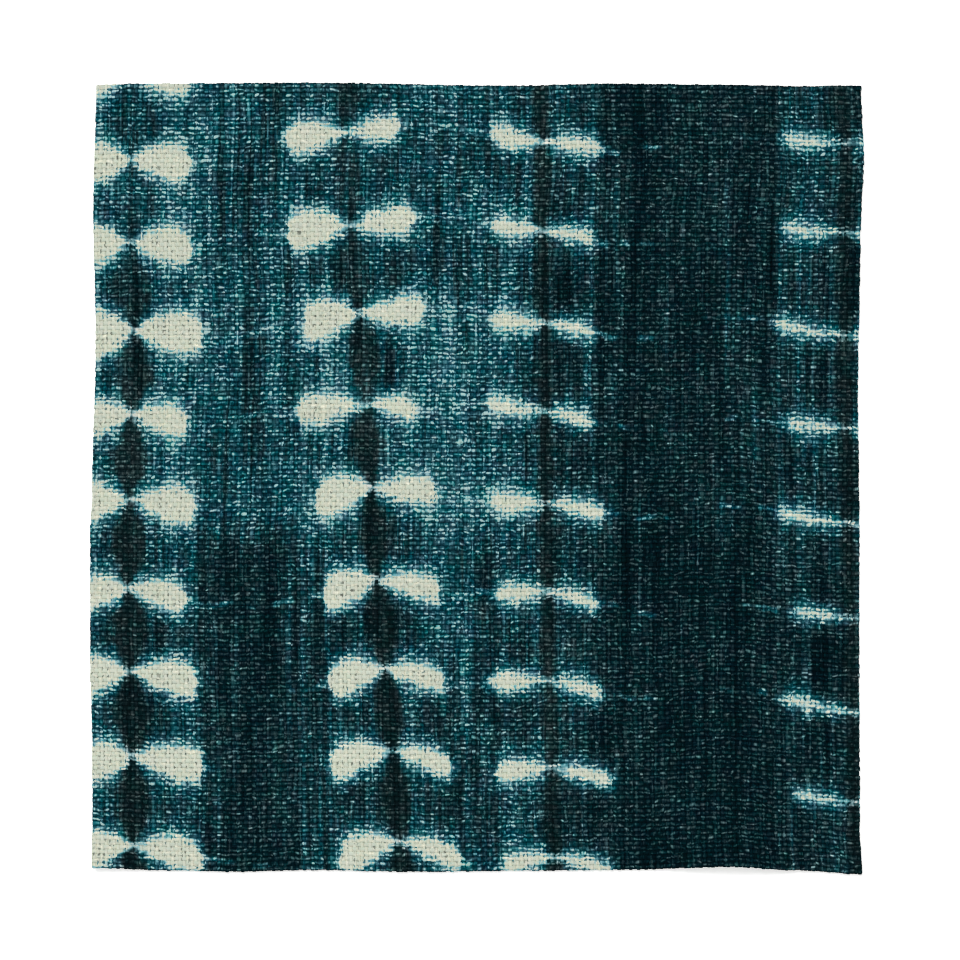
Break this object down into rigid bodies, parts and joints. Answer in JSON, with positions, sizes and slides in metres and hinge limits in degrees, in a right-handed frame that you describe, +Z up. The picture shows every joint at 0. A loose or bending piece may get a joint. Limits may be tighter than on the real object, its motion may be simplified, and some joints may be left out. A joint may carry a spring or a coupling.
{
  "type": "cut piece of printed outdoor cloth",
  "caption": "Small cut piece of plain-weave outdoor cloth lying face up, with raw cut edges and a printed resist-dyed pattern of pale bow-tie marks in columns on dark teal.",
  "frame": {"origin": "centre of the outline, on the underside of the cloth where it rests on the surface", "axes": "+Z up out of the printed face, +Y along the warp to the top of the print, +X to the right along the weft"},
  "size_m": [0.1276, 0.1306, 0.0025],
  "materials": {
    "printed_cloth": "matt coarse plain weave, printed dark teal with aqua shading and undyed cream marks"
  },
  "bodies": {
    "root": {"cloth": "printed_cloth"}
  },
  "joints": []
}
